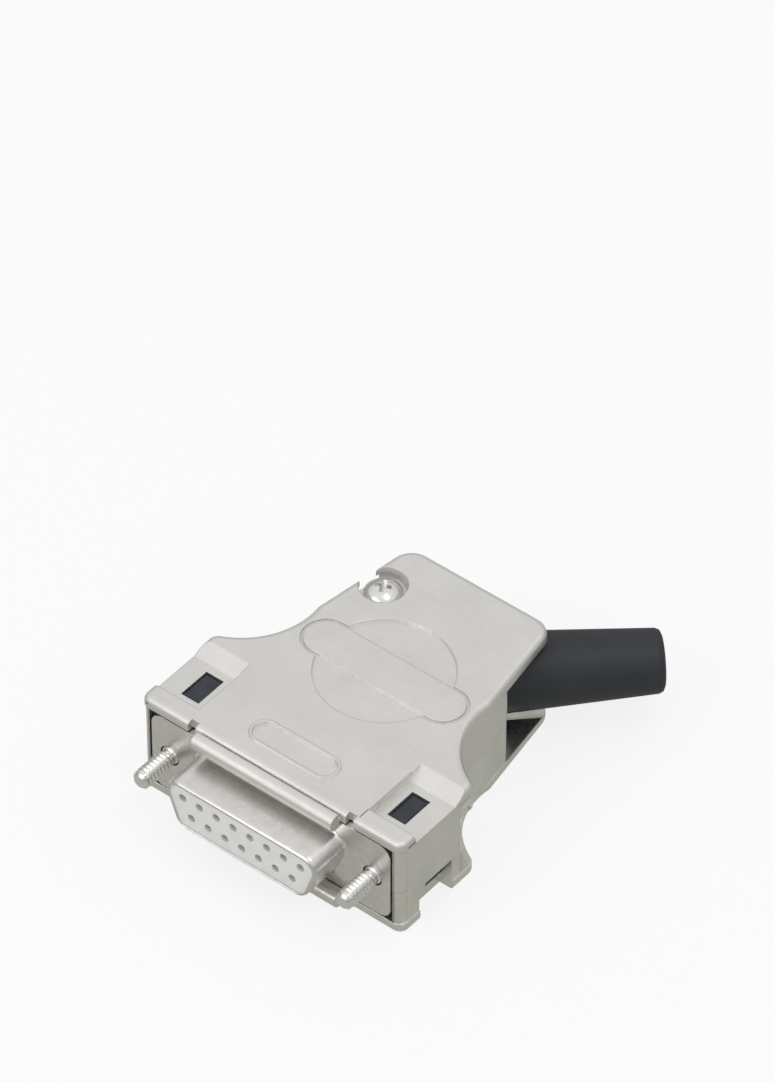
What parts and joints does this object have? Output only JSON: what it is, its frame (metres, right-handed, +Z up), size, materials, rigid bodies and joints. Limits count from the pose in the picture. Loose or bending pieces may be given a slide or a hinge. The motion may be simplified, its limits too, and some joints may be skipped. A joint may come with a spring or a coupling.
{
  "type": "d-sub hood",
  "caption": "Two-shell metal hood for a 15-way D-sub connector, with 45 degree cable outlet, clamp, boot, clips and jackscrews.",
  "frame": {"origin": "on the underside of the base shell, on the centreline, in the plane of the connector's flange face", "axes": "+X right seen from above, +Y to the rear, -Y towards the mating connector, +Z up from the underside"},
  "size_m": [0.0459, 0.062, 0.0161],
  "materials": {
    "base_plating": "bright nickel on a zinc casting",
    "cover_plating": "satin nickel on a zinc casting, fine grain",
    "collar_plating": "satin nickel on a zinc casting",
    "screw_steel": "bright nickel plate",
    "strap_steel": "bright nickel plate on folded sheet",
    "raw_zinc": "bare matt zinc casting",
    "clip_nylon": "moulded, slight sheen",
    "boot_rubber": "soft matt rubber",
    "shell_tin": "tin plate, slightly warm",
    "white_plastic": "moulded, satin",
    "contact_metal": "turned and plated"
  },
  "bodies": {
    "base": {"base_shell": "base_plating"},
    "cover": {"cover_shell": "cover_plating"},
    "cover_screw": {"cover_screw": "screw_steel"},
    "bridge": {"clamp_bridge": "strap_steel"},
    "clamp_screw_rear": {"clamp_screw_rear": "screw_steel"},
    "clamp_screw_front": {"clamp_screw_front": "screw_steel"},
    "saddle": {"cable_saddle": "raw_zinc"},
    "collar_upper": {"boot_collar_upper": "collar_plating"},
    "boot": {"cable_boot": "boot_rubber"},
    "collar_lower": {"boot_collar_lower": "collar_plating"},
    "connector": {"connector_front_shell": "shell_tin", "connector_rear_shell": "shell_tin", "insulator_front": "white_plastic", "insulator_rear": "white_plastic", "contact_01": "contact_metal", "contact_02": "contact_metal", "contact_03": "contact_metal", "contact_04": "contact_metal", "contact_05": "contact_metal", "contact_06": "contact_metal", "contact_07": "contact_metal", "contact_08": "contact_metal", "contact_09": "contact_metal", "contact_10": "contact_metal", "contact_11": "contact_metal", "contact_12": "contact_metal", "contact_13": "contact_metal", "contact_14": "contact_metal", "contact_15": "contact_metal"},
    "clip_left": {"latch_clip_left": "clip_nylon"},
    "clip_right": {"latch_clip_right": "clip_nylon"},
    "jackscrew_left": {"jackscrew_left": "screw_steel"},
    "jackscrew_right": {"jackscrew_right": "screw_steel"}
  },
  "joints": [
    {"name": "cover_lift", "type": "slide", "parent": "base", "child": "cover", "axis": [0, 0, 1], "range_m": [0, 0.088]},
    {"name": "cover_screw_out", "type": "slide", "parent": "cover", "child": "cover_screw", "axis": [0, 0, 1], "range_m": [0, 0.014]},
    {"name": "bridge_lift", "type": "slide", "parent": "base", "child": "bridge", "axis": [0, 0, 1], "range_m": [0, 0.044]},
    {"name": "clamp_screw_rear_out", "type": "slide", "parent": "bridge", "child": "clamp_screw_rear", "axis": [0, 0, 1], "range_m": [0, 0.00704]},
    {"name": "clamp_screw_front_out", "type": "slide", "parent": "bridge", "child": "clamp_screw_front", "axis": [0, 0, 1], "range_m": [0, 0.00704]},
    {"name": "saddle_lift", "type": "slide", "parent": "base", "child": "saddle", "axis": [0, 0, 1], "range_m": [0, 0.02376]},
    {"name": "collar_upper_lift", "type": "slide", "parent": "base", "child": "collar_upper", "axis": [0, 0, 1], "range_m": [0, 0.03872]},
    {"name": "boot_lift", "type": "slide", "parent": "base", "child": "boot", "axis": [0, 0, 1], "range_m": [0, 0.02464]},
    {"name": "collar_lower_lift", "type": "slide", "parent": "base", "child": "collar_lower", "axis": [0, 0, 1], "range_m": [0, 0.00968]},
    {"name": "connector_lift", "type": "slide", "parent": "base", "child": "connector", "axis": [0, 0, 1], "range_m": [0, 0.01408]},
    {"name": "clip_left_lift", "type": "slide", "parent": "base", "child": "clip_left", "axis": [0, 0, 1], "range_m": [0, 0.01408]},
    {"name": "clip_right_lift", "type": "slide", "parent": "base", "child": "clip_right", "axis": [0, 0, 1], "range_m": [0, 0.01408]},
    {"name": "jackscrew_left_turn", "type": "hinge", "parent": "clip_left", "child": "jackscrew_left", "pos_m": [-0.01666, 0.007, 0.008], "axis": [0, 1, 0], "continuous": true},
    {"name": "jackscrew_right_turn", "type": "hinge", "parent": "clip_right", "child": "jackscrew_right", "pos_m": [0.01666, 0.007, 0.008], "axis": [0, 1, 0], "continuous": true}
  ],
  "couplings": [
    {"joint": "bridge_lift", "follows": "cover_lift", "ratio": 0.5},
    {"joint": "clamp_screw_rear_out", "follows": "cover_lift", "ratio": 0.08},
    {"joint": "clamp_screw_front_out", "follows": "cover_lift", "ratio": 0.08},
    {"joint": "saddle_lift", "follows": "cover_lift", "ratio": 0.27},
    {"joint": "collar_upper_lift", "follows": "cover_lift", "ratio": 0.44},
    {"joint": "boot_lift", "follows": "cover_lift", "ratio": 0.28},
    {"joint": "collar_lower_lift", "follows": "cover_lift", "ratio": 0.11},
    {"joint": "connector_lift", "follows": "cover_lift", "ratio": 0.16},
    {"joint": "clip_left_lift", "follows": "cover_lift", "ratio": 0.16},
    {"joint": "clip_right_lift", "follows": "cover_lift", "ratio": 0.16}
  ]
}
